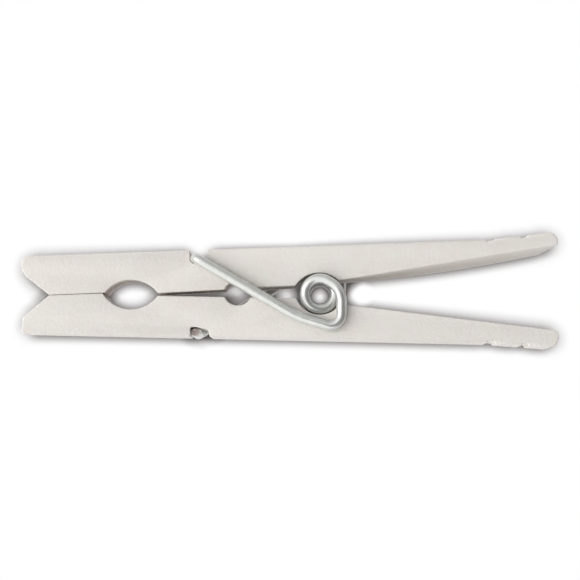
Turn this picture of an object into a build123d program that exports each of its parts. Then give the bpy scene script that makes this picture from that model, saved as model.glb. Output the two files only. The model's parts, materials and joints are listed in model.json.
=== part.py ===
from build123d import *
import math
import os

# A wooden spring clothespin lying on its side: two levers held together by one bent wire whose
# coil is both the spring and the pivot. Millimetres. +X runs from the jaws to the handle tips,
# +Y from the lower lever to the upper lever, and +Z along the coil, up from the surface the pin
# lies on. Everything is built around the coil's axis, then moved so that the origin is below the
# middle of the whole pin, on that surface.

# ---- driving dimensions -------------------------------------------------------------------

LEVER_WIDTH = 9.5              # both levers, along the coil
JAW_REACH = 40.0               # coil axis to the longer jaw tip
HANDLE_REACH = 31.9            # coil axis to the handle tips
HALF_HEIGHT = 6.4              # coil axis to an outer face, beside the coil
OUTER_TAPER = 1.62             # degrees by which each outer face falls towards the jaws
JAW_SEAM = 0.05                # room between the closed jaw flats

WIRE_DIAMETER = 1.4
COIL_MEAN_RADIUS = 2.0
TURN_GAP = 0.1                 # least gap between turns, as a share of the wire
COIL_CLEARANCE = 0.1           # coil to the levers' seats
LEG_CLEARANCE = 0.05           # wire leg to the lever's side face

# The jaw flats lean a little against the length.
MOUTH_DEPTH = 3.7              # longer jaw tip to where the flats begin
FLAT_HEIGHT = 0.06             # height of the flats there
FLAT_LEAN = 1.7                # degrees

OVAL_CENTRE = (-25.3, 0.07)    # the line hole
OVAL_LENGTH = 7.4
OVAL_DEPTH = 1.97              # into each lever
SMALL_HOLE_PLACE = -11.0
SMALL_HOLE_RADIUS = 1.9
SMALL_HOLE_DEPTH = 1.1         # into each lever, from its inner face

# The notch across an outer face that holds the hooked end of the wire.
NOTCH_WALL = -17.4             # the wall on the jaw side, which takes the spring's pull
NOTCH_BENCH = 0.35             # the floor is this much shallower on the handle side
NOTCH_LEAN = 0.35              # the handle side wall leans out by this much
HOOK_SLACK = 0.05              # wire to the notch's wall and floor
HOOK_BEND = 1.3                # bend radius where the leg turns into the notch
HOOK_END_GAP = 0.6             # from the wire's cut end to the lever's far side face

# A leg's route over the side face, around the coil axis.
LEG_LEAVES_COIL = 60.0         # degrees up from the handle direction
LOOP_PROUD = 0.88              # the loop's reach beyond the coil's centre line, towards the handles
LOOP_DROP = 2.83               # and down, at its corner
ELBOW = (-3.2, 0.97)           # where the leg straightens: along, and down beyond the coil
LEG_BENDS = (3.0, 1.6, 8.0)    # bend radii: off the coil, round the loop, at the elbow

FLARE_START = 22.15            # from here the outer face flares to the handle tip
GRIP_CUTS = ((22.85, 1.2), (27.4, 0.95))     # place and width of the grooves near the tip


class Lever:
    """The sizes in which the two levers differ, with heights counted away from the middle."""

    def __init__(self, **sizes):
        self.__dict__.update(sizes)


UPPER = Lever(
    side=1,
    nose=((0.8, 2.84, 0.8), (0.0, 1.52, 0.8)),   # back from the jaw tip, below the top, radius
    nose_back=0.0, nose_radius=1.0,              # the corner with the outer face
    throat_start=0.24, throat_slope=2.7,         # inner face from the line hole to the coil
    seat_offset=(0.15, -1.0),                    # centre of the coil seat's arc
    root=(2.8, 1.8),                             # where the handle's inner face begins
    bow=0.49, bow_end=0.5,                       # the far edge of that face bulges by these
    flare=0.9,                                   # rise of the outer face by the tip
    tip_thickness=1.82, tip_outer=1.18, tip_inner=0.42,
    notch_width=2.3, hook_depth=1.05,
    grip_depths=(0.2, 0.3),
)
LOWER = Lever(
    side=-1,
    nose=((0.55, 2.63, 0.15),),
    nose_back=0.3, nose_radius=0.15,
    throat_start=0.13, throat_slope=1.45,
    seat_offset=(0.5, -1.2),
    root=(3.65, 1.5),
    bow=0.0, bow_end=0.0,
    flare=0.4,
    tip_thickness=2.41, tip_outer=1.5, tip_inner=0.75,
    notch_width=2.6, hook_depth=0.85,
    grip_depths=(0.27, 0.33),
)
BOW_STOPS = 1.9                # the bulge ends this far from the tip
BOW_FADES = 0.6                # and is gone this far from it
TIP_SHARE = 0.65               # most of the tip's thickness that its outer rounding may take

# ---- what follows from them ---------------------------------------------------------------

WIRE_RADIUS = WIRE_DIAMETER / 2
SIDE_FACE = LEVER_WIDTH / 2                           # side faces, from mid-width
LEG_PLANE = SIDE_FACE + LEG_CLEARANCE + WIRE_RADIUS   # a leg's centre line, from mid-width
COIL_RADIUS = COIL_MEAN_RADIUS + WIRE_RADIUS
FLAT_START = MOUTH_DEPTH - JAW_REACH
OVAL_RADIUS = ((OVAL_LENGTH / 2) ** 2 + OVAL_DEPTH ** 2) / (2 * OVAL_DEPTH)
OVAL_END = OVAL_CENTRE[0] + OVAL_LENGTH / 2
LOOP_REACH = COIL_MEAN_RADIUS + LOOP_PROUD


def slope(degrees):
    return math.tan(math.radians(degrees))


def outer_height(x):
    """Height of the straight part of an outer face."""
    return HALF_HEIGHT + x * slope(OUTER_TAPER)


def tip_height(lever, x):
    """Height of the outer face where it flares towards the handle tip."""
    share = (x - FLARE_START) / (HANDLE_REACH - FLARE_START)
    return outer_height(x) + lever.flare * share


def flat_height(lever, x):
    """Height of a lever's jaw flat, half the seam away from the plane where the jaws meet."""
    meeting = FLAT_HEIGHT + (x - FLAT_START) * slope(FLAT_LEAN)
    return lever.side * meeting + JAW_SEAM / 2


def throat_height(lever, x):
    return lever.throat_start + (x - OVAL_END) * slope(lever.throat_slope)


def handle_height(lever, x):
    """Height of the handle's straight inner edge."""
    start, height = lever.root
    share = (x - start) / (HANDLE_REACH - start)
    end = tip_height(lever, HANDLE_REACH) - lever.tip_thickness
    return height + (end - height) * share


def hook_centre(lever):
    """Centre of the hooked wire end in a lever's notch."""
    x = NOTCH_WALL + HOOK_SLACK + WIRE_RADIUS
    return x, outer_height(x) - lever.hook_depth


def across(lever, points, width=LEVER_WIDTH):
    """A prism over an outline of (x, height) points, centred on mid-width."""
    outline = Polyline(*[(x, lever.side * height) for x, height in points], close=True)
    return extrude(make_face(outline), amount=width / 2, both=True)


def round_cut(lever, x, height, radius):
    """A round bar across the whole width."""
    return Pos(x, lever.side * height, 0) * Cylinder(radius, LEVER_WIDTH + 2)


# ---- the levers ---------------------------------------------------------------------------


def lever_blank(lever):
    """The sawn outline, with its nose and tip rounded."""
    nose_corner = lever.nose_back - JAW_REACH
    nose = []
    for back, below, radius in lever.nose:
        x = back - JAW_REACH
        nose.append((x, outer_height(x) - below))
    points = [
        (FLAT_START, flat_height(lever, FLAT_START)),
        *nose,
        (nose_corner, outer_height(nose_corner)),
        (FLARE_START, outer_height(FLARE_START)),
        (HANDLE_REACH, tip_height(lever, HANDLE_REACH)),
        (HANDLE_REACH, handle_height(lever, HANDLE_REACH)),
        lever.root,
        (0, throat_height(lever, 0)),
        (OVAL_CENTRE[0], throat_height(lever, OVAL_CENTRE[0])),
        (OVAL_CENTRE[0], flat_height(lever, OVAL_CENTRE[0])),
    ]
    radii = [
        0,
        *[radius for back, below, radius in lever.nose],
        lever.nose_radius,
        0,
        min(lever.tip_outer, TIP_SHARE * lever.tip_thickness),
        min(lever.tip_inner, (1 - TIP_SHARE) * lever.tip_thickness),
        0, 0, 0, 0,
    ]
    outline = FilletPolyline(*[(x, lever.side * h) for x, h in points], radius=radii, close=True)
    return extrude(make_face(outline), amount=SIDE_FACE, both=True)


def bowed_handle(lever, body):
    """Adds wood under the handle, then pares it to a face that is straight at the front edge
    and bulges at the far one."""
    start, height = lever.root
    bow_x = HANDLE_REACH - BOW_STOPS
    fade_x = HANDLE_REACH - BOW_FADES
    middle = (start + bow_x) / 2
    deep = lever.bow + lever.bow_end
    stock = across(lever, [
        (start, height),
        (middle, handle_height(lever, middle) - 2 * deep),
        (bow_x, handle_height(lever, bow_x) - 2 * deep),
        (fade_x, handle_height(lever, fade_x)),
    ])
    floor = height - 4 * deep

    def paring(z, bow, bow_end):
        turn = (bow_x, handle_height(lever, bow_x) - bow_end)
        crown = (middle, handle_height(lever, middle) - bow_end / 2 - bow)
        fade = (fade_x, handle_height(lever, fade_x))
        edge = Line((start, height), turn)
        if bow:
            edge = ThreePointArc((start, height), crown, turn)
        rest = Polyline(turn, fade, (fade_x, floor), (start, floor), (start, height))
        return Pos(0, 0, z) * make_face([edge, rest])

    cutter = loft([paring(SIDE_FACE, 0, 0), paring(-SIDE_FACE, lever.bow, lever.bow_end)],
                  ruled=True)
    return body + (stock - cutter)


def wire_notch(lever):
    """The notch for the wire's hook: an upright wall towards the jaws and a rising floor."""
    centre_x, centre_height = hook_centre(lever)
    floor = centre_height - WIRE_RADIUS - HOOK_SLACK
    far_wall = NOTCH_WALL + lever.notch_width
    above = outer_height(far_wall) + 1
    return across(lever, [
        (NOTCH_WALL, floor),
        (centre_x, floor),
        (far_wall, floor + NOTCH_BENCH),
        (far_wall + NOTCH_LEAN, above),
        (NOTCH_WALL, above),
    ], LEVER_WIDTH + 2)


def grip_groove(lever, place, width, depth):
    left, right = place - width / 2, place + width / 2
    above = tip_height(lever, right) + 1
    return across(lever, [
        (left, tip_height(lever, left) - depth),
        (right, tip_height(lever, right) - depth),
        (right, above),
        (left, above),
    ], LEVER_WIDTH + 2)


def wooden_lever(lever):
    body = lever_blank(lever)
    if lever.bow:
        body = bowed_handle(lever, body)
    seat_x, seat_height = lever.seat_offset
    seat_radius = COIL_RADIUS + COIL_CLEARANCE + math.hypot(seat_x, seat_height)
    body -= round_cut(lever, seat_x, seat_height, seat_radius)
    oval_height = lever.side * OVAL_CENTRE[1] + OVAL_DEPTH - OVAL_RADIUS
    body -= round_cut(lever, OVAL_CENTRE[0], oval_height, OVAL_RADIUS)
    hole_height = throat_height(lever, SMALL_HOLE_PLACE) + SMALL_HOLE_DEPTH - SMALL_HOLE_RADIUS
    body -= round_cut(lever, SMALL_HOLE_PLACE, hole_height, SMALL_HOLE_RADIUS)
    body -= wire_notch(lever)
    for (place, width), depth in zip(GRIP_CUTS, lever.grip_depths):
        body -= grip_groove(lever, place, width, depth)
    return body - wire_dent(lever)


# ---- the spring ---------------------------------------------------------------------------


def leg_start():
    """Where a leg leaves the coil, how far it runs to the loop's first corner, and the pitch
    that brings the coil's last turn up to the leg's plane along the same slope."""
    angle = math.radians(LEG_LEAVES_COIL)
    x = COIL_MEAN_RADIUS * math.cos(angle)
    y = COIL_MEAN_RADIUS * math.sin(angle)
    run = (LOOP_REACH - x) / math.sin(angle)
    part_turn = 1 - 2 * LEG_LEAVES_COIL / 360
    room = 2 * LEG_PLANE / (WIRE_DIAMETER * (1 + TURN_GAP))
    turns = math.floor(room - part_turn) + part_turn
    pitch = 2 * LEG_PLANE / (turns + run / (math.pi * COIL_MEAN_RADIUS))
    return Vector(x, y, turns * pitch / 2), run, pitch, turns


def leg_corners(lever):
    """Corners of the leg that ends in a lever's notch, as it lies on the side face nearer +Z.
    The other leg is the same route turned half a turn about the length."""
    start, run, pitch, turns = leg_start()
    hook_x, hook_height = hook_centre(lever)
    corner_height = start.Y - run * math.cos(math.radians(LEG_LEAVES_COIL))
    return [
        start,
        Vector(LOOP_REACH, corner_height, LEG_PLANE),
        Vector(LOOP_REACH, -COIL_MEAN_RADIUS - LOOP_DROP, LEG_PLANE),
        Vector(ELBOW[0], -COIL_MEAN_RADIUS - ELBOW[1], LEG_PLANE),
        Vector(hook_x, hook_height, LEG_PLANE),
        Vector(hook_x, hook_height, HOOK_END_GAP - SIDE_FACE),
    ]


def lay_leg(lever, line):
    """The route on its own side of the pin: the lower lever's leg is on the far side."""
    return line if lever.side > 0 else line.rotate(Axis.X, 180)


def tube(path, start, direction, radius):
    section = Plane(origin=start, z_dir=direction) * Circle(radius)
    return sweep(section, path=path)


def wire_dent(lever):
    """What the wire's bend takes out of the wood at the notch's mouth."""
    before, corner, end = leg_corners(lever)[-3:]
    start = corner + (before - corner).normalized() * (2 * HOOK_BEND)
    bend = FilletPolyline(start, corner, end, radius=HOOK_BEND).edges()[1]
    bend = lay_leg(lever, bend)
    clearance = min(LEG_CLEARANCE, HOOK_SLACK)
    return tube(bend, bend @ 0, bend % 0, WIRE_RADIUS + 0.9 * clearance)


def spring():
    start, run, pitch, turns = leg_start()
    height = 2 * start.Z
    coil = Edge.make_helix(pitch, height, COIL_MEAN_RADIUS, (0, 0, -start.Z), lefthand=True)
    coil = coil.rotate(Axis.Z, -LEG_LEAVES_COIL)
    legs = []
    for lever in (UPPER, LOWER):
        leg = FilletPolyline(*leg_corners(lever), radius=[*LEG_BENDS, HOOK_BEND])
        legs.append(lay_leg(lever, leg))
    path = Wire([*legs[1].edges(), coil, *legs[0].edges()])
    cut_end = legs[1]
    body = tube(path, cut_end @ 1, cut_end % 1, WIRE_RADIUS)
    print(f"spring: {turns:.2f} turns, pitch {pitch:.3f}, wire {path.length:.1f} long,"
          f" volume {body.volume:.2f} of {math.pi * WIRE_RADIUS ** 2 * path.length:.2f}")
    return body


# ---- write each piece ---------------------------------------------------------------------

levers = {"upper_lever": wooden_lever(UPPER), "lower_lever": wooden_lever(LOWER)}
outline_box = Compound(children=[piece.solid() for piece in levers.values()]).bounding_box()
middle = outline_box.center()
place = Pos(-middle.X, -middle.Y, LEG_PLANE + WIRE_RADIUS)

os.makedirs("parts", exist_ok=True)
for name, piece in {**levers, "torsion_spring": spring()}.items():
    placed = place * piece.solid()
    placed.label = name
    export_step(placed, f"parts/{name}.step")
print(f"coil axis at x {-middle.X:.3f}, y {-middle.Y:.3f}, mid-width {LEG_PLANE + WIRE_RADIUS:.3f}")
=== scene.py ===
# %% [markdown]
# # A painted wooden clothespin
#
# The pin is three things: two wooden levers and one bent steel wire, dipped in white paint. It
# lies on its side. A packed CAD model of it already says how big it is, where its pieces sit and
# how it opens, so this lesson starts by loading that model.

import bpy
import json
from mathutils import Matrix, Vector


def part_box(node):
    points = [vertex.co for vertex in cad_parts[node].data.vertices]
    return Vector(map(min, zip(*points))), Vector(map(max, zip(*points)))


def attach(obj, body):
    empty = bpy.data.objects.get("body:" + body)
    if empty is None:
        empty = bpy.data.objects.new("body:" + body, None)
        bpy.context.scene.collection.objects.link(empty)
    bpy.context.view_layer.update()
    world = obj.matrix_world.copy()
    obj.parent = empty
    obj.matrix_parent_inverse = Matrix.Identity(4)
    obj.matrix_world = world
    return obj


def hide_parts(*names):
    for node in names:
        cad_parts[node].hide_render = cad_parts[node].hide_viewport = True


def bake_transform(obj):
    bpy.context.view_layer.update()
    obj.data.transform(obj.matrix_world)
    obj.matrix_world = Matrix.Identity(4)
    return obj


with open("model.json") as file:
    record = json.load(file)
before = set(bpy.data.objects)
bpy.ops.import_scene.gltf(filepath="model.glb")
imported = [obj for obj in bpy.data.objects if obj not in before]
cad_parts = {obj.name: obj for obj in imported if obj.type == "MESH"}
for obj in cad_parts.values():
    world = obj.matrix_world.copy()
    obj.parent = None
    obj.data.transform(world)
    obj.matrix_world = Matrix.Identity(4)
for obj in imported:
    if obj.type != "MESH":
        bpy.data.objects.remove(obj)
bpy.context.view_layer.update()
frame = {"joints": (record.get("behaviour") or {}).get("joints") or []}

# %% [markdown]
# ## Where the pieces are
#
# Every size below is in millimetres and is counted from the coil's axis, halfway across the pin,
# because both levers turn about that axis. +X runs from the jaws to the handle tips, +Y towards
# the upper lever and +Z along the coil, up from the table. The joint in the packed model says
# where the axis is, and a lever's box says how wide the wood is.

# %% The coil's axis and the width of the wood
import math

import bmesh
import bpy
from mathutils import Matrix, Vector

MM = 0.001
PIVOT = Vector(frame["joints"][0]["pos_m"])
lever_low, lever_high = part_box("upper_lever")
LEVER_WIDTH = (lever_high.z - lever_low.z) / MM
SIDE_FACE = LEVER_WIDTH / 2
print("axis at", [round(part / MM, 3) for part in PIVOT], "mm, wood", round(LEVER_WIDTH, 2), "mm wide")

# %% [markdown]
# ## The lever's profile
#
# A factory saws both levers from one moulded strip, so their profiles share most of their sizes.
# The outer face falls towards the jaws and flares at the tip, and the inner face is stepped: jaw
# flat, line hole, throat, seat for the coil and handle. The profile could be drawn from a long
# list of points, but a few lengths, angles and radii say what the shape is and are easy to change.

# %% Sizes that both levers share
JAW_REACH = 40.0
HANDLE_REACH = 31.9
OUTER_TAPER = math.tan(math.radians(1.62))
JAW_SEAM = 0.05
FLAT_START = -36.3
FLAT_HEIGHT = 0.06
FLAT_LEAN = math.tan(math.radians(1.7))
FLARE_START = 22.15
OVAL_CENTRE = (-25.3, 0.07)
OVAL_LENGTH = 7.4
OVAL_DEPTH = 1.97
OVAL_END = OVAL_CENTRE[0] + OVAL_LENGTH / 2
OVAL_RADIUS = ((OVAL_LENGTH / 2) ** 2 + OVAL_DEPTH ** 2) / (2 * OVAL_DEPTH)
SMALL_HOLE = {"place": -11.0, "radius": 1.9, "depth": 1.1}
COIL_RADIUS = 2.7
SEAT_GAP = 0.1
print("pin", JAW_REACH + HANDLE_REACH, "mm long; line hole radius", round(OVAL_RADIUS, 2), "mm")

# %% [markdown]
# ## What differs between the two levers
#
# The strip's two ends were cut and sanded a little differently, so a few sizes belong to one
# lever only. They are kept together in one dictionary for each lever. Heights are counted away
# from the middle of the pin, and side says on which side of it the lever lies. A nose point is a
# place along the pin and how far it lies below the outer face.

# %% Sizes of each lever
UPPER = {
    "side": 1,
    "half_height": 6.45,
    "nose": ((-39.4, 2.75), (-40.0, 1.75), (-40.0, 0.0)),
    "throat": (0.24, math.tan(math.radians(2.7))),
    "seat": (-0.12, -1.0),
    "root": (2.8, 1.8),
    "flare": 0.78,
    "tip_thickness": 1.82,
}
LOWER = {
    "side": -1,
    "half_height": 6.15,
    "nose": ((-39.8, 2.13), (-40.0, 0.0)),
    "throat": (0.13, math.tan(math.radians(1.45))),
    "seat": (0.0, -0.6),
    "root": (3.65, 1.5),
    "flare": 0.52,
    "tip_thickness": 2.41,
}
outer_faces = [lever["half_height"] for lever in (UPPER, LOWER)]
print("outer faces at the coil are", outer_faces, "mm from the middle")

# %% [markdown]
# ## Heights of a lever's faces
#
# Each face is a straight line, seen from the side. A small function for each one gives its height
# at any place along the pin, so that a notch, a groove or an arc can start exactly on its face.

# %% The faces as straight lines


def outer_height(lever, x):
    return lever["half_height"] + x * OUTER_TAPER


def tip_height(lever, x):
    share = (x - FLARE_START) / (HANDLE_REACH - FLARE_START)
    return outer_height(lever, x) + lever["flare"] * share


def flat_height(lever, x):
    return lever["side"] * (FLAT_HEIGHT + (x - FLAT_START) * FLAT_LEAN) + JAW_SEAM / 2


def throat_height(lever, x):
    start, slope = lever["throat"]
    return start + (x - OVAL_END) * slope


def handle_height(lever, x):
    start, height = lever["root"]
    end = tip_height(lever, HANDLE_REACH) - lever["tip_thickness"]
    return height + (end - height) * (x - start) / (HANDLE_REACH - start)


NEAR_TIP = 31
for name, lever in (("upper", UPPER), ("lower", LOWER)):
    thickness = tip_height(lever, NEAR_TIP) - handle_height(lever, NEAR_TIP)
    print(name, "handle is", round(thickness, 2), "mm thick near its tip")

# %% [markdown]
# ## Working in edit mode from a script
#
# An operator works on whatever is selected, and a freshly loaded model is selected all over. So
# each step first selects one piece, and inside edit mode it selects the vertices, edges or faces
# that it wants by their place. Two small helpers do that for the whole lesson.

# %% Select one piece, and pick parts of it
from contextlib import contextmanager


def take(piece):
    bpy.ops.object.select_all(action="DESELECT")
    piece.select_set(True)
    bpy.context.view_layer.objects.active = piece


@contextmanager
def editing(piece, kind="VERT"):
    take(piece)
    bpy.ops.object.mode_set(mode="EDIT")
    bpy.ops.mesh.select_mode(type=kind)
    bpy.ops.mesh.select_all(action="DESELECT")
    yield bmesh.from_edit_mesh(piece.data)
    bpy.ops.object.mode_set(mode="OBJECT")


def pick(piece, parts, wanted):
    chosen = [part for part in parts if wanted(part)]
    for part in chosen:
        part.select_set(True)
    bmesh.update_edit_mesh(piece.data, loop_triangles=False, destructive=False)
    return len(chosen)


bpy.ops.object.select_all(action="DESELECT")
print("selected now:", len(bpy.context.selected_objects))

# %% [markdown]
# ## Drawing with a pencil that feeds and bends
#
# A profile of straight lines and arcs can be drawn the way a wire is bent. The pencil is one
# vertex. Feeding it straight is an extrude, and turning it round a peg is a spin. With no
# window a spin turns clockwise about its axis, so its angle is given a minus sign. The same two
# moves will bend the real wire later on, with a ring of vertices in place of one.

# %% Feed, bend and follow a route
BEND_STEP = 7.5


def feed(step):
    bpy.ops.mesh.extrude_region_move(TRANSFORM_OT_translate={"value": step})


def bend(degrees, peg, axis, per_step=BEND_STEP):
    steps = max(2, math.ceil(abs(degrees) / per_step))
    bpy.ops.mesh.spin(steps=steps, angle=-math.radians(degrees), center=peg, axis=axis)


def follow(start, corners, radii):
    """Goes from start round the corners to the last of them. A radius of 0 is a sharp corner."""
    here = start
    for corner, after, radius in zip(corners, corners[1:], radii):
        inward = (corner - here).normalized()
        outward = (after - corner).normalized()
        turn = inward.angle(outward)
        reach = radius * math.tan(turn / 2)
        feed(corner - inward * reach - here)
        here = corner + outward * reach
        if radius:
            axis = inward.cross(outward).normalized()
            peg = corner - inward * reach + axis.cross(inward) * radius
            bend(math.degrees(turn), peg, axis)
    feed(corners[-1] - here)


print("a quarter turn round a peg takes", math.ceil(90 / BEND_STEP), "steps")

# %% [markdown]
# ## The pencil
#
# The pencil itself is the smallest circle there is, merged into one vertex at the start of the
# route.

# %% One vertex


def pencil(name, start):
    bpy.ops.mesh.primitive_circle_add(vertices=3, radius=1, location=(0, 0, 0))
    line = bpy.context.active_object
    line.name = name
    with editing(line):
        bpy.ops.mesh.select_all(action="SELECT")
        bpy.ops.mesh.merge(type="CENTER")
        bpy.ops.transform.translate(value=start)
    return line


print("meshes so far:", len(bpy.data.meshes))

# %% [markdown]
# ## Where an arc meets a face
#
# The line hole, the small hole and the coil's seat are arcs whose centres lie outside the wood.
# To draw them, the pencil needs the two places where each arc meets the face beside it. A face
# is a straight line there, so a few halvings along the arc find the place closely enough.

# %% Meet a face
HALVINGS = 40


def meet(centre, radius, face_height, low, high):
    """The angle in degrees between low and high at which the arc crosses the face."""
    def over(angle):
        x = centre[0] + radius * math.cos(math.radians(angle))
        return centre[1] + radius * math.sin(math.radians(angle)) - face_height(x)

    low_is_over = over(low) > 0
    for _ in range(HALVINGS):
        middle = (low + high) / 2
        if (over(middle) > 0) == low_is_over:
            low = middle
        else:
            high = middle
    return (low + high) / 2


def on_arc(centre, radius, angle):
    x = centre[0] + radius * math.cos(math.radians(angle))
    return Vector((x, centre[1] + radius * math.sin(math.radians(angle)), -SIDE_FACE))


print("the top of a ring of radius 1 is at", [round(part, 2) for part in on_arc((0, 0), 1, 90)])

# %% [markdown]
# ## The notch and the grip grooves
#
# Both are part of the profile, because they run right across the outer face. The notch has an
# upright wall towards the jaws that takes the spring's pull, and its floor rises away from that
# wall, so that the wire's hook lies in the deep corner. The two grooves near the tip are shallow
# and have sloping sides, as paint leaves them.

# %% Sizes of the notch and the grooves
WIRE_RADIUS = 0.7
NOTCH_WALL = -17.4
NOTCH_BENCH = 0.35
HOOK_SLACK = 0.015
HOOK_X = NOTCH_WALL + HOOK_SLACK + WIRE_RADIUS
GRIP_GROOVES = ((22.85, 1.2), (27.4, 0.95))
GROOVE_SLOPE = 0.09
RIM_ROUND = 0.25
BENCH_ROUND = 0.15
UPPER.update(notch_width=2.3, notch_lean=0.05, notch_round=0.7, hook_depth=1.08)
LOWER.update(notch_width=2.4, notch_lean=0.25, notch_round=0.3, hook_depth=0.63)
UPPER["groove_depths"] = (0.2, 0.3)
LOWER["groove_depths"] = (0.27, 0.33)
print("the wire's middle lies", [lever["hook_depth"] for lever in (UPPER, LOWER)], "mm deep")

# %% [markdown]
# ## Corners across the outer face
#
# The notch and the grooves are worked out from the outer face's height at their place, so that
# they follow the face if its slope is changed.

# %% Corners of the notch and the grooves


def hook_height(lever):
    return outer_height(lever, HOOK_X) - lever["hook_depth"]


def notch_corners(lever):
    """Each corner with its rounding."""
    floor_height = hook_height(lever) - WIRE_RADIUS - HOOK_SLACK
    far_wall = NOTCH_WALL + lever["notch_width"]
    rim = far_wall + lever["notch_lean"]
    return [
        (NOTCH_WALL, outer_height(lever, NOTCH_WALL), RIM_ROUND),
        (NOTCH_WALL, floor_height, lever["notch_round"]),
        (HOOK_X, floor_height, 0),
        (far_wall, floor_height + NOTCH_BENCH, BENCH_ROUND),
        (rim, outer_height(lever, rim), RIM_ROUND),
    ]


def groove_corners(lever):
    corners = []
    for (place, width), depth in zip(GRIP_GROOVES, lever["groove_depths"]):
        left, right = place - width / 2, place + width / 2
        corners += [
            (left, tip_height(lever, left), 0),
            (left + GROOVE_SLOPE, tip_height(lever, left) - depth, 0),
            (right - GROOVE_SLOPE, tip_height(lever, right) - depth, 0),
            (right, tip_height(lever, right), 0),
        ]
    return corners


print("upper notch corners:", [(round(x, 2), round(y, 2)) for x, y, r in notch_corners(UPPER)])

# %% [markdown]
# ## The pencil's route
#
# The pencil starts where the line hole meets the jaw flat, goes round the nose, along the outer
# face, round the tip and back along the handle, then takes the three arcs one after another: the
# coil's seat, the small hole and the line hole.

# %% The three arcs


def profile_arcs(lever):
    """Each arc's centre, radius, first angle and last angle: coil seat, small hole, line hole."""
    side = lever["side"]
    oval = (OVAL_CENTRE[0], side * OVAL_CENTRE[1] + OVAL_DEPTH - OVAL_RADIUS)
    hole_x = SMALL_HOLE["place"]
    hole = (hole_x, throat_height(lever, hole_x) + SMALL_HOLE["depth"] - SMALL_HOLE["radius"])
    seat_radius = COIL_RADIUS + SEAT_GAP + math.hypot(*lever["seat"])
    arcs = []
    for centre, radius, right_face, left_face in (
        (lever["seat"], seat_radius, handle_height, throat_height),
        (hole, SMALL_HOLE["radius"], throat_height, throat_height),
        (oval, OVAL_RADIUS, throat_height, flat_height),
    ):
        first = meet(centre, radius, lambda x: right_face(lever, x), 0, 90)
        last = meet(centre, radius, lambda x: left_face(lever, x), 180, 90)
        arcs.append((centre, radius, first, last))
    return arcs


for lever in (UPPER, LOWER):
    print("arcs start at", [round(first, 1) for centre, radius, first, last in profile_arcs(lever)])

# %% [markdown]
# ## The corners of a profile
#
# All that isn't one of the three arcs is a straight line with rounded corners. Each corner is
# listed once, in the order of the pencil's route, with its rounding beside it.

# %% From the jaw flat to the coil's seat
FLAT_ROUND = 0.25
UPPER.update(nose_radii=(0.8, 0.8, 1.0), tip_radii=(1.18, 0.42))
LOWER.update(nose_radii=(0.25, 0.3), tip_radii=(1.5, 0.75))


def profile_corners(lever, seat_corner):
    """From the jaw flat round the nose and the tip to the coil's seat, each with its rounding."""
    corners = [(FLAT_START, flat_height(lever, FLAT_START), FLAT_ROUND)]
    for (x, below), radius in zip(lever["nose"], lever["nose_radii"]):
        corners.append((x, outer_height(lever, x) - below, radius))
    corners += notch_corners(lever)
    corners += groove_corners(lever)
    outer_tip, inner_tip = lever["tip_radii"]
    corners.append((HANDLE_REACH, tip_height(lever, HANDLE_REACH), outer_tip))
    corners.append((HANDLE_REACH, handle_height(lever, HANDLE_REACH), inner_tip))
    corners.append((seat_corner.x, seat_corner.y, 0))
    return corners


print("the upper profile has", len(profile_corners(UPPER, Vector((0, 0)))), "corners")

# %% [markdown]
# ## Drawing, filling and extruding
#
# With the arcs and the corners known, drawing is short: follow the corners, take the arcs, merge
# the doubled vertices, fill the outline and extrude it to the width of the wood. The lower lever
# is drawn the same way up as the upper one and then turned over by a negative scale, so its
# normals are recalculated.

# %% Draw, fill and extrude
ARC_STEP = 4.5


def lever_profile(name, lever):
    arcs = profile_arcs(lever)
    seat_centre, seat_radius, seat_first, _ = arcs[0]
    oval_centre, oval_radius, _, oval_last = arcs[-1]
    start = on_arc(oval_centre, oval_radius, oval_last)
    corners = profile_corners(lever, on_arc(seat_centre, seat_radius, seat_first))
    line = pencil(name, start)
    with editing(line):
        bpy.ops.mesh.select_all(action="SELECT")
        follow(start, [Vector((x, y, -SIDE_FACE)) for x, y, r in corners], [r for x, y, r in corners])
        for index, (centre, radius, first, last) in enumerate(arcs):
            if index:
                feed(on_arc(centre, radius, first) - here)
            bend(last - first, (*centre, 0), (0, 0, 1), ARC_STEP)
            here = on_arc(centre, radius, last)
        bpy.ops.mesh.select_all(action="SELECT")
        bpy.ops.mesh.remove_doubles(threshold=0.002)
        bpy.ops.mesh.edge_face_add()
        bpy.ops.mesh.extrude_region_move(TRANSFORM_OT_translate={"value": (0, 0, LEVER_WIDTH)})
        bpy.ops.mesh.select_all(action="SELECT")
        bpy.ops.transform.resize(value=(1, lever["side"], 1), center_override=(0, 0, 0))
        bpy.ops.mesh.normals_make_consistent(inside=False)
    print(name, "has", len(line.data.vertices), "vertices")
    return line


upper = lever_profile("upper_lever_wood", UPPER)
lower = lever_profile("lower_lever_wood", LOWER)

# %% [markdown]
# ## The bowed face of the upper handle
#
# The upper handle wasn't planed quite square: the far edge of its inner face bulges below the
# near edge. Bisecting only that face, across its length, gives its far edge vertices to move,
# and each one is lowered by the bulge at its place.

# %% Bow the far edge
BOW_STARTS = UPPER["root"][0]
BOW_STOPS = HANDLE_REACH - 1.9
BOW_FADES = HANDLE_REACH - 0.6
MIDDLE_BOW = 0.49
END_BOW = 0.5
BOW_CUTS = 18
CLOSE = 0.02


def bow_drop(x):
    share = (x - BOW_STARTS) / (BOW_STOPS - BOW_STARTS)
    return END_BOW * share + 4 * MIDDLE_BOW * share * (1 - share)


bow_step = (BOW_STOPS - BOW_STARTS) / BOW_CUTS
bow_places = [BOW_STARTS + bow_step * count for count in range(1, BOW_CUTS + 1)]


def on_handle(face):
    return face.normal.y < -0.9 and face.calc_center_median().x > BOW_STARTS


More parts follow.
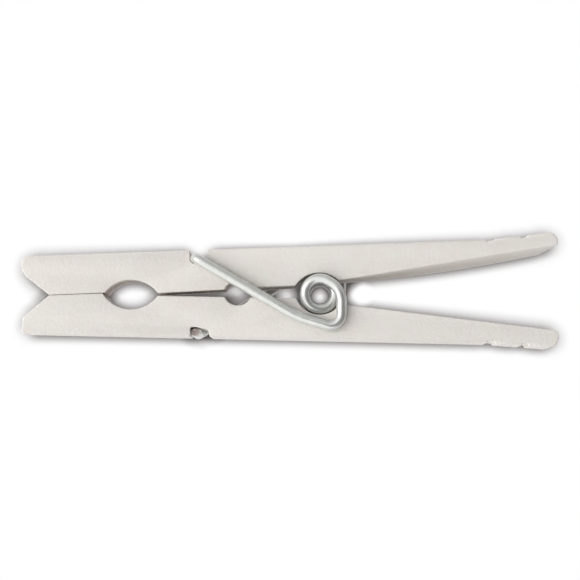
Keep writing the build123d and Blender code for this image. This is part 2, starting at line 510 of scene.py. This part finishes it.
for x in bow_places + [BOW_FADES]:
    with editing(upper, "FACE") as mesh:
        pick(upper, mesh.faces, on_handle)
        bpy.ops.mesh.bisect(plane_co=(x, 0, 0), plane_no=(1, 0, 0))
for x in bow_places:
    with editing(upper) as mesh:
        spot = Vector((x, handle_height(UPPER, x), -SIDE_FACE))
        found = pick(upper, mesh.verts, lambda vertex: (vertex.co - spot).length < CLOSE)
        bpy.ops.transform.translate(value=(0, -bow_drop(x), 0))
print("bulge halfway", round(bow_drop(bow_places[BOW_CUTS // 2]), 2), "mm, picked", found)

# %% [markdown]
# ## Softening the edges
#
# Wood that has been tumbled and dipped in paint has no sharp edges. A Bevel modifier with an
# angle limit rounds every edge that turns sharply and leaves the facets of the arcs alone.

# %% Round the edges
EDGE_ROUND = 0.16
SHARPEST_LEFT = math.radians(50)


def finish_with(piece, kind, **settings):
    take(piece)
    modifier = piece.modifiers.new(kind.title(), kind)
    for setting, value in settings.items():
        setattr(modifier, setting, value)
    bpy.ops.object.modifier_apply(modifier=modifier.name)


for piece in (upper, lower):
    finish_with(
        piece, "BEVEL", width=EDGE_ROUND, segments=4, limit_method="ANGLE",
        angle_limit=SHARPEST_LEFT, use_clamp_overlap=False,
    )
    print(piece.name, "softened:", len(piece.data.polygons), "faces", piece.dimensions)

# %% [markdown]
# ## The wire
#
# The spring is one wire. A ring of vertices is the wire's end, and the pencil's two moves feed
# it straight and bend it. One step of a spin followed by a small move along the axis, many times
# over, winds the coil.

# %% A wire's end, and winding
RING_SIDES = 28


def wire_end(name, place, direction, radius=WIRE_RADIUS):
    facing = Vector(direction).to_track_quat("Z", "Y").to_euler()
    bpy.ops.mesh.primitive_circle_add(
        vertices=RING_SIDES, radius=radius, location=place, rotation=facing
    )
    wire = bpy.context.active_object
    wire.name = name
    bpy.ops.object.transform_apply(location=True, rotation=True)
    return wire


def wind(degrees, rise):
    """Winds clockwise, seen from above, while the wire climbs."""
    steps = math.ceil(degrees / BEND_STEP)
    step_angle = math.radians(degrees / steps)
    for _ in range(steps):
        bpy.ops.mesh.spin(steps=1, angle=step_angle, center=(0, 0, 0), axis=(0, 0, 1))
        bpy.ops.transform.translate(value=(0, 0, rise / steps))


print("one turn of the coil takes", math.ceil(360 / BEND_STEP), "steps")

# %% [markdown]
# ## The route of a leg
#
# Each leg leaves the coil, loops round its handle side, crosses the lever's side face in one
# straight run and turns into the notch. The leg on the near side ends in the upper lever, and
# the leg on the far side is the same route turned half a turn about the pin's length, ending in
# the lower lever.

# %% Corners of both legs
COIL_MEAN_RADIUS = 2.0
LEG_PLANE = SIDE_FACE + 0.05 + WIRE_RADIUS
LEAVES_COIL = 60.0
TURN_GAP = 0.1
LOOP_REACH = COIL_MEAN_RADIUS + 0.88
LOOP_DROP = 2.83
ELBOW = (-3.2, 0.97)
LEG_BENDS = (3.0, 1.6, 8.0)
HOOK_BEND = 0.95
SEAM = SIDE_FACE - 0.55

leave = math.radians(LEAVES_COIL)
leave_x = COIL_MEAN_RADIUS * math.cos(leave)
leave_y = COIL_MEAN_RADIUS * math.sin(leave)
first_run = (LOOP_REACH - leave_x) / math.sin(leave)
part_turn = 1 - 2 * LEAVES_COIL / 360
most_turns = 2 * LEG_PLANE / (2 * WIRE_RADIUS * (1 + TURN_GAP))
TURNS = math.floor(most_turns - part_turn) + part_turn
PITCH = 2 * LEG_PLANE / (TURNS + first_run / (math.pi * COIL_MEAN_RADIUS))
COIL_TOP = TURNS * PITCH / 2
print("coil:", round(TURNS, 2), "turns,", round(PITCH, 3), "mm apart")


def leg_route(lever):
    """From the coil to the seam inside the notch, on the near side of the pin."""
    height = hook_height(lever)
    return [
        Vector((leave_x, leave_y, COIL_TOP)),
        Vector((LOOP_REACH, leave_y - first_run * math.cos(leave), LEG_PLANE)),
        Vector((LOOP_REACH, -COIL_MEAN_RADIUS - LOOP_DROP, LEG_PLANE)),
        Vector((ELBOW[0], -COIL_MEAN_RADIUS - ELBOW[1], LEG_PLANE)),
        Vector((HOOK_X, height, LEG_PLANE)),
        Vector((HOOK_X, height, SEAM)),
    ]


half_turn = Matrix.Rotation(math.pi, 3, "X")
near_leg = leg_route(UPPER)
far_leg = [half_turn @ corner for corner in leg_route(LOWER)]
print("straight run of the near leg:", round((near_leg[4] - near_leg[3]).length, 1), "mm")

# %% [markdown]
# ## Dents under the wire
#
# Where a leg turns into its notch it presses into the wood's edge. A slightly thicker copy of
# that bend is made and taken out of the lever with a Boolean modifier, so that wire and wood
# don't run through each other.

# %% Press the dents
PRESS_GAP = 0.02


def close_wire(wire, is_end=lambda centre: True):
    with editing(wire, "EDGE") as mesh:
        def at_end(edge):
            return edge.is_boundary and is_end((edge.verts[0].co + edge.verts[1].co) / 2)

        found = pick(wire, mesh.edges, at_end)
        bpy.ops.mesh.edge_face_add()
        bpy.ops.mesh.select_all(action="SELECT")
        bpy.ops.mesh.normals_make_consistent(inside=False)
    return found


for piece, route in ((upper, near_leg), (lower, far_leg)):
    before, corner, after = route[-3:]
    start = corner + (before - corner).normalized() * 2 * HOOK_BEND
    presser = wire_end("presser", start, corner - start, WIRE_RADIUS + PRESS_GAP)
    with editing(presser):
        bpy.ops.mesh.select_all(action="SELECT")
        follow(start, [corner, after + (after - corner) * 0.3], [HOOK_BEND])
    middle = (start + after) / 2
    close_wire(presser, lambda centre: (centre - start).length < 1)
    close_wire(presser, lambda centre: (centre - start).length > 1)
    finish_with(piece, "BOOLEAN", operation="DIFFERENCE", solver="EXACT", object=presser)
    bpy.data.objects.remove(presser)
    print(piece.name, "with its dent:", len(piece.data.polygons), "faces")

# %% [markdown]
# ## Bending the spring
#
# The wire is bent from the far notch to the near one: the far leg backwards, the coil, then the
# near leg. The coil climbs while it turns clockwise, seen from the near side. The hooked ends
# stop just inside the wood, because there each hook has to stay with its own lever when the pin
# opens, while the coil twists.

# %% Bend one wire from notch to notch
far_route = list(reversed(far_leg))
spring = wire_end("spring_wire", far_route[0], far_route[1] - far_route[0])
with editing(spring):
    bpy.ops.mesh.select_all(action="SELECT")
    follow(far_route[0], far_route[1:], [HOOK_BEND, *reversed(LEG_BENDS)])
    wind(TURNS * 360, 2 * COIL_TOP)
    follow(near_leg[0], near_leg[1:], [*LEG_BENDS, HOOK_BEND])
    bpy.ops.mesh.select_all(action="SELECT")
    bpy.ops.mesh.remove_doubles(threshold=0.0005)
    bpy.ops.mesh.normals_make_consistent(inside=False)
print("spring wire:", len(spring.data.vertices), "vertices")

# %% [markdown]
# ## The hooks
#
# Inside the notches the wire is straight, and it was cut off a little short of the far side
# face. The cutter pinched its end, so the last ring is narrower than the rest. Each hook starts
# on the same ring as the spring, so no seam shows.

# %% Two straight hooks
HOOK_END = SIDE_FACE - 0.6
PINCH_LENGTH = 0.7
PINCH = (0.86, 0.68)
PINCH_SHIFT = -0.08


def hook(name, lever):
    seam_z = lever["side"] * SEAM
    end_z = -lever["side"] * HOOK_END
    y = lever["side"] * hook_height(lever)
    bar = wire_end(name, (HOOK_X, y, seam_z), (0, 0, -lever["side"]))
    with editing(bar):
        bpy.ops.mesh.select_all(action="SELECT")
        feed((0, 0, end_z - seam_z + lever["side"] * PINCH_LENGTH))
        feed((0, 0, -lever["side"] * PINCH_LENGTH))
        bpy.ops.transform.resize(value=(*PINCH, 1), center_override=(HOOK_X, y, end_z))
        bpy.ops.transform.translate(value=(PINCH_SHIFT, 0, 0))
    return bar


upper_hook = hook("upper_hook", UPPER)
lower_hook = hook("lower_hook", LOWER)
open_ends = (
    (spring, SEAM), (spring, -SEAM), (upper_hook, SEAM),
    (upper_hook, -HOOK_END), (lower_hook, -SEAM), (lower_hook, HOOK_END),
)
for wire, level in open_ends:
    edges = close_wire(wire, lambda centre: abs(centre.z - level) < 0.01)
    print(wire.name, "closed over", edges, "edges,", len(wire.data.polygons), "faces")

# %% [markdown]
# ## Into the packed model's frame
#
# All five pieces are now moved from millimetres about the coil's axis to metres in the packed
# model's frame, and their scale and place are applied, so that every object sits at the origin
# with its place in its mesh. Smoothing stops at sharp angles, so that flat faces stay flat.

# %% Settle the pieces
SMOOTH_ANGLE = math.radians(40)
for piece in (upper, lower, spring, upper_hook, lower_hook):
    take(piece)
    piece.scale = (MM, MM, MM)
    piece.location = PIVOT
    bpy.ops.object.transform_apply(location=True, rotation=True, scale=True)
    bpy.ops.object.shade_smooth_by_angle(angle=SMOOTH_ANGLE)
    print(piece.name, "is", [round(size / MM, 2) for size in piece.dimensions], "mm")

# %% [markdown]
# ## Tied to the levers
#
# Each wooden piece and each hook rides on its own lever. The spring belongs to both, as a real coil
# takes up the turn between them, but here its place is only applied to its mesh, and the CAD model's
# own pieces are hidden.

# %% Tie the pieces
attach(upper, "upper_lever")
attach(lower, "lower_lever")
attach(upper_hook, "upper_lever")
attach(lower_hook, "lower_lever")
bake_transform(spring)
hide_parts("upper_lever")
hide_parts("lower_lever")
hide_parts("torsion_spring")

# %% [markdown]
# ## Sums on sockets
#
# A finish is a sum of patterns, and sums are easier to read as sums than as boxes and wires. The
# class below wraps one socket, and adding or multiplying it adds the Math node that does so.
# Numbers may stand on either side.

# %% A socket that can be added up


class Pattern:
    def __init__(self, finish, socket):
        self.finish = finish
        self.socket = socket

    def maths(self, operation, first, second):
        return self.finish.node("ShaderNodeMath", {"operation": operation}, {0: first, 1: second})

    def __add__(self, other):
        return self.maths("ADD", self, other)

    __radd__ = __add__

    def __sub__(self, other):
        return self.maths("SUBTRACT", self, other)

    def __rsub__(self, other):
        return self.maths("SUBTRACT", other, self)

    def __mul__(self, other):
        return self.maths("MULTIPLY", self, other)

    __rmul__ = __mul__

    def above(self, low, high):
        """0 where the pattern is under low, 1 where it is over high, and a slope between."""
        settings = {"clamp": True}
        sockets = {"Value": self, "From Min": low, "From Max": high}
        return self.finish.node("ShaderNodeMapRange", settings, sockets)


print("besides sums, a pattern knows", [name for name in vars(Pattern) if not name.startswith("_")])

# %% [markdown]
# ## One method for every other node
#
# Every other node comes from one method that takes its type, its settings and what goes into its
# sockets, a value or a pattern. The rest are names for the nodes that come up often: where a
# point is, noise, a blend of two colours and a bump.

# %% A node tree


class Nodes:
    """A node tree, and the ways this lesson adds to it."""

    def __init__(self, tree):
        self.tree = tree

    def node(self, kind, settings, sockets, result=0):
        node = self.tree.nodes.new(kind)
        for setting, value in settings.items():
            setattr(node, setting, value)
        for key, value in sockets.items():
            self.plug(self.find(node.inputs, key), value)
        return Pattern(self, self.find(node.outputs, result))

    def find(self, sockets, key):
        shown = [socket for socket in sockets if socket.enabled]
        if isinstance(key, int):
            return shown[key]
        return next(socket for socket in shown if socket.name == key)

    def plug(self, socket, value):
        if isinstance(value, Pattern):
            self.tree.links.new(value.socket, socket)
        else:
            socket.default_value = value

    def place(self, stretch=(1, 1, 1)):
        """Where a point is, in millimetres, stretched for a pattern."""
        here = self.node("ShaderNodeTexCoord", {}, {}, "Object")
        sizes = [part / MM for part in stretch]
        return self.node("ShaderNodeMapping", {}, {"Vector": here, "Scale": sizes})

    def noise(self, place, per_mm, detail=2.0, roughness=0.5):
        sockets = {"Vector": place, "Scale": per_mm, "Detail": detail, "Roughness": roughness}
        return self.node("ShaderNodeTexNoise", {}, sockets)

    def blend(self, share, first, second):
        sockets = {0: share, "A": first, "B": second}
        return self.node("ShaderNodeMix", {"data_type": "RGBA"}, sockets)

    def bump(self, height):
        """Height is in millimetres."""
        sockets = {"Strength": 1.0, "Distance": MM, "Height": height}
        return self.node("ShaderNodeBump", {}, sockets)


print("ways to add to a tree:", [name for name in vars(Nodes) if not name.startswith("_")])

# %% [markdown]
# ## A finish
#
# A finish is a material whose node tree can be added to in the same ways. Its surface's values
# are set by the names of the sockets, so that a finish reads like a list of what it is.

# %% A material


class Finish(Nodes):
    """A material, with its surface's values set by name."""

    def __init__(self, name):
        self.material = bpy.data.materials.new(name)
        self.material.use_nodes = True
        super().__init__(self.material.node_tree)
        self.shader = self.tree.nodes["Principled BSDF"]

    def surface(self, **values):
        for key, value in values.items():
            self.plug(self.shader.inputs[key.replace("_", " ")], value)


print("materials so far:", len(bpy.data.materials))

# %% [markdown]
# ## White paint on wood
#
# The paint is a warm white, dipped and left matt. It dries with an orange-peel skin about a
# third of a millimetre across, over grain that runs along the lever and telegraphs through as
# faint long lines. Larger patches are a little pinker or greener where the paint is thin or
# thick. Each of these is one noise of the right size, stretched along the lever for the grain,
# and the same noises raise the bump, so that colour and relief agree.

# %% The wood's finish
WARM_WHITE = (0.775, 0.735, 0.695, 1)
THIN_WHITE = (0.74, 0.69, 0.65, 1)
THICK_WHITE = (0.80, 0.77, 0.735, 1)
PINKISH = (0.77, 0.70, 0.67, 1)
GREENISH = (0.755, 0.74, 0.67, 1)
PORE_GREY = (0.66, 0.62, 0.585, 1)
wood = Finish("painted_wood")
flat_place = wood.place()
grain_place = wood.place((0.07, 1.0, 1.0))
peel = wood.noise(flat_place, 2.6, 3.0, 0.55)
pores = wood.noise(flat_place, 6.0, 2.0, 0.6)
grain = wood.noise(grain_place, 1.6, 4.0, 0.6)
patches = wood.noise(flat_place, 0.22, 3.0, 0.6)
blotches = wood.noise(flat_place, 0.5, 3.0, 0.6)
white = wood.blend(patches.above(0.45, 0.7), WARM_WHITE, THIN_WHITE)
thick = grain.above(0.3, 0.75) * 0.35 + peel.above(0.35, 0.7) * 0.3
white = wood.blend(thick, white, THICK_WHITE)
white = wood.blend(blotches.above(0.5, 0.75) * 0.7, white, PINKISH)
white = wood.blend(blotches.above(0.5, 0.25) * 0.7, white, GREENISH)
white = wood.blend(pores.above(0.6, 0.75) * 0.4, white, PORE_GREY)
relief = peel * 0.055 + pores * 0.02 + grain * 0.035
wood.surface(Base_Color=white, Roughness=0.48 + peel * 0.12 + grain * 0.08, Normal=wood.bump(relief))
wood.surface(Specular_IOR_Level=0.4)
for piece in (upper, lower):
    piece.data.materials.append(wood.material)
print("wood finish has", len(wood.tree.nodes), "nodes")

# %% [markdown]
# ## Gloss white paint on wire
#
# The wire's paint is cooler, smoother and glossier than the wood's, and thin enough for some of
# the steel to shine through. A half metallic base under a clear coat gives both shines. Only slow
# waves in it bend its highlights.

# %% The wire's finish
COOL_WHITE = (0.56, 0.57, 0.54, 1)
COOL_WHITE_THICK = (0.62, 0.63, 0.60, 1)
wire_paint = Finish("painted_wire")
wire_place = wire_paint.place()
waves = wire_paint.noise(wire_place, 0.9, 2.0, 0.5)
dust = wire_paint.noise(wire_place, 5.0, 2.0, 0.5)
cool = wire_paint.blend(waves.above(0.35, 0.7), COOL_WHITE, COOL_WHITE_THICK)
wire_paint.surface(Base_Color=cool, Roughness=0.1 + dust * 0.08, Metallic=0.45)
wire_paint.surface(Coat_Weight=1.0, Coat_IOR=1.8, Coat_Roughness=0.1)
wire_paint.surface(Normal=wire_paint.bump(waves * 0.02 + dust * 0.002))
for piece in (spring, upper_hook, lower_hook):
    piece.data.materials.append(wire_paint.material)
print("wire finish has", len(wire_paint.tree.nodes), "nodes")

# %% [markdown]
# ## Bare steel at the cut ends
#
# The wire was cut after it was painted, so its two ends show steel, browned where air has got at
# it. Only the end face of each hook wears this finish, as a second material on the same piece.

# %% The cut ends' finish
STEEL = (0.46, 0.41, 0.40, 1)
RUST = (0.34, 0.25, 0.23, 1)
cut_steel = Finish("cut_steel")
rust = cut_steel.noise(cut_steel.place(), 3.0, 3.0, 0.6).above(0.35, 0.65)
brown = cut_steel.blend(rust, STEEL, RUST)
cut_steel.surface(Base_Color=brown, Metallic=0.7 - rust * 0.6, Roughness=0.45 + rust * 0.3)
cut_steel.surface(Normal=cut_steel.bump(rust * 0.03))
for piece, level in ((upper_hook, -HOOK_END), (lower_hook, HOOK_END)):
    piece.data.materials.append(cut_steel.material)
    end_z = PIVOT.z + level * MM
    cut_faces = [face for face in piece.data.polygons if abs(face.center.z - end_z) < 0.01 * MM]
    for face in cut_faces:
        face.material_index = 1
    print(piece.name, "has", len(cut_faces), "cut face")

# %% [markdown]
# ## The table
#
# The pin lies on a plain white light table, bright enough to show as pure white, with only a
# tight soft painted shade where the pin is close to it. Ambient Occlusion measures how near the pin
# is: once straight up, for the painted shade under the rims, and once leaning inward, for the
# painted shade behind the pin, which its far edges half hide. The coil and the far leg lie on the
# table and would shade the openings beside them too much, so painted light is added there as soft
# spots, each with its place from the coil's axis, its radius and its strength. Only the camera
# sees that painted shade and light. The light in the room meets a plain table that glows evenly
# and lights the pin's inner faces from below.

# %% A plain white table
PAINTED_LIGHT_SPOTS = ((0, 0, 1.3, 0.75), (-4.7, 0.35, 1.7, 0.5), (-11, 0.4, 1.8, 0.3), (5.5, 0.3, 2.0, 0.6))
WHITE = (1, 1, 1, 1)
BLACK = (0, 0, 0, 1)
# the warm tint of the painted shade on the table
PAINTED_WARM_SHADE = (1, 0.93, 0.92, 1)
bpy.ops.mesh.primitive_plane_add(size=1.2, location=(0, 0, 0))
table = bpy.context.active_object
table.name = "table"
table_top = Finish("table_white")
print("table", round(table.dimensions.x, 2), "m wide, with", len(PAINTED_LIGHT_SPOTS), "spots of light")

# %% [markdown]
# ## The painted shade round the pin
#
# The table's shade could be left to the lamps, but a light table lights its own shadows away. So
# the shade is painted into the table's glow here, from nearness alone. It reaches a little farther
# out towards the pin's two ends, where more of the table is hidden behind the rims.

# %% Painted shade, spots of painted light and glow
SHADE_REACH = 2.05
FAR_SHADE_REACH = 2.2
REACH_PER_MM = 0.025
LEAN_PER_MM = -0.045
DEEPEST = 0.1
BACKLIGHT = 0.4


def nearness(reach, lean):
    sockets = {"Distance": reach, "Normal": lean}
    return table_top.node("ShaderNodeAmbientOcclusion", {"samples": 24}, sockets, "AO")


here = table_top.place((1, 1, 0))
along = table_top.node("ShaderNodeSeparateXYZ", {}, {"Vector": here}, "X")
inward = table_top.node("ShaderNodeCombineXYZ", {}, {"X": along * LEAN_PER_MM, "Y": -0.6, "Z": 0.6})
far_out = along.maths("MAXIMUM", along, along * -1)
# painted shade from nearness: under the pin's rims and behind the pin
painted_rim_shade = nearness(SHADE_REACH * MM, (-0.05, 0.16, 1)).above(0.64, 0.965)
behind_reach = (far_out * REACH_PER_MM + FAR_SHADE_REACH) * MM
painted_back_shade = nearness(behind_reach, inward).above(0.6, 0.963)
glow = painted_rim_shade * painted_back_shade * 0.92 + DEEPEST
# painted pools of light where light falls through the openings
for x, y, radius, strength in PAINTED_LIGHT_SPOTS:
    foot = (x + PIVOT.x / MM, y + PIVOT.y / MM, 0)
    ends = {0: here, 1: foot}
    away = table_top.node("ShaderNodeVectorMath", {"operation": "DISTANCE"}, ends, "Value")
    glow = glow + (1 - away.above(0.15 * radius, radius)) * strength
seen = table_top.node("ShaderNodeLightPath", {}, {}, "Is Camera Ray")
mist = table_top.noise(table_top.place(), 0.02, 2.0, 0.5)
pale = table_top.blend(mist, (0.50, 0.50, 0.50, 1), (0.52, 0.52, 0.52, 1))
warm = table_top.blend(glow, PAINTED_WARM_SHADE, WHITE)
# only camera rays see the painted shade and light; other rays see an even glow
lit = table_top.blend(glow * seen + (1 - seen) * BACKLIGHT, BLACK, warm)
table_top.surface(Base_Color=table_top.blend(seen, pale, BLACK), Roughness=0.9)
table_top.surface(Specular_IOR_Level=0.0, Emission_Color=lit, Emission_Strength=1.0)
table.data.materials.append(table_top.material)
print("table finish has", len(table_top.tree.nodes), "nodes")

# %% [markdown]
# ## The light
#
# The room is white, and its left half is brighter, as beside a large window. Above and a little to
# the right it is dark, as where the camera and its stand are, and the glossy wire shows that as a
# thin grey line along its length. A small soft box adds a little shape from the left.

# %% A soft box
KEY_PLACE = (-0.3, 0.02, 0.22)
KEY_WATTS = 0.4


def soft_box(name, place, size, watts):
    lamp = bpy.data.lights.new(name, "AREA")
    lamp.shape = "RECTANGLE"
    lamp.size, lamp.size_y = size
    lamp.energy = watts
    box = bpy.data.objects.new(name, lamp)
    bpy.context.scene.collection.objects.link(box)
    box.location = place
    box.rotation_euler = (-Vector(place)).to_track_quat("-Z", "Y").to_euler()
    return box


key_light = soft_box("key_light", KEY_PLACE, (0.2, 0.35), KEY_WATTS)
print("key light", key_light.data.energy, "W at", KEY_PLACE)

# %% [markdown]
# ## A white room
#
# The room is only a brightness for each direction. A painted backdrop could hold that, but three
# soft-edged caps of directions, multiplied together, are enough and easy to move: the window, the
# stand, and the sky side, which keeps the horizon dimmer than the ceiling.

# %% Window, stand and ceiling
ROOM = 0.62
WINDOW = 0.86
WINDOW_SIDE = Vector((-0.75, -0.45, 0.48))
STAND_SIDE = Vector((0.55, -0.2, 0.81))
STAND_DARKNESS = 0.92
HORIZON = 0.3
world = bpy.data.worlds.new("white_room")
world.use_nodes = True
bpy.context.scene.world = world
room = Nodes(world.node_tree)
direction = room.node("ShaderNodeTexCoord", {}, {}, "Generated")


def toward(side):
    sockets = {0: direction, 1: side.normalized()}
    return room.node("ShaderNodeVectorMath", {"operation": "DOT_PRODUCT"}, sockets, "Value")


window = toward(WINDOW_SIDE).above(0.05, 0.55)
stand = toward(STAND_SIDE).above(0.76, 0.8)
overhead = toward(Vector((0, 0, 1))).above(-0.1, 0.22)
background = world.node_tree.nodes["Background"]
light = (window * WINDOW + ROOM) * (1 - stand * STAND_DARKNESS) * (overhead * (1 - HORIZON) + HORIZON)
room.plug(background.inputs["Color"], WHITE)
room.plug(background.inputs["Strength"], light)
bpy.context.scene.view_settings.view_transform = "Standard"
print("room", ROOM, "window", WINDOW, "horizon", HORIZON)

# %% [markdown]
# ## The camera
#
# The camera looks almost straight down at the pin from nearly forty centimetres away, through a
# long lens, so that the levers' sides hardly show. It stands a little in front of the pin, which
# lets it see the far walls of the line hole and of the gap between the handles, and it is turned
# by a small angle about its own axis. Its axes are worked out and put into its matrix.

# %% Place the camera
CAMERA_LENS = 174.1
CAMERA_PLACE = Vector((3.94, -16.45, 386)) * MM
CAMERA_AIM = Vector((0.04, 0.29, 10.95)) * MM
CAMERA_ROLL = math.radians(0.39)
camera_data = bpy.data.cameras.new("camera")
camera = bpy.data.objects.new("camera", camera_data)
bpy.context.scene.collection.objects.link(camera)
bpy.context.scene.camera = camera
backward = (CAMERA_PLACE - CAMERA_AIM).normalized()
right = Vector((math.cos(CAMERA_ROLL), -math.sin(CAMERA_ROLL), 0))
right = (right - backward * right.dot(backward)).normalized()
up = backward.cross(right)
turned = Matrix((right, up, backward)).transposed().to_4x4()
camera.matrix_world = Matrix.Translation(CAMERA_PLACE) @ turned
camera_data.lens = CAMERA_LENS
camera_data.sensor_width = 36
camera_data.clip_start = 0.01
camera_data.clip_end = 10
print("camera", round((CAMERA_PLACE - CAMERA_AIM).length / MM), "mm from the pin")

# %% [markdown]
# ## The end

# %% One last import
import json
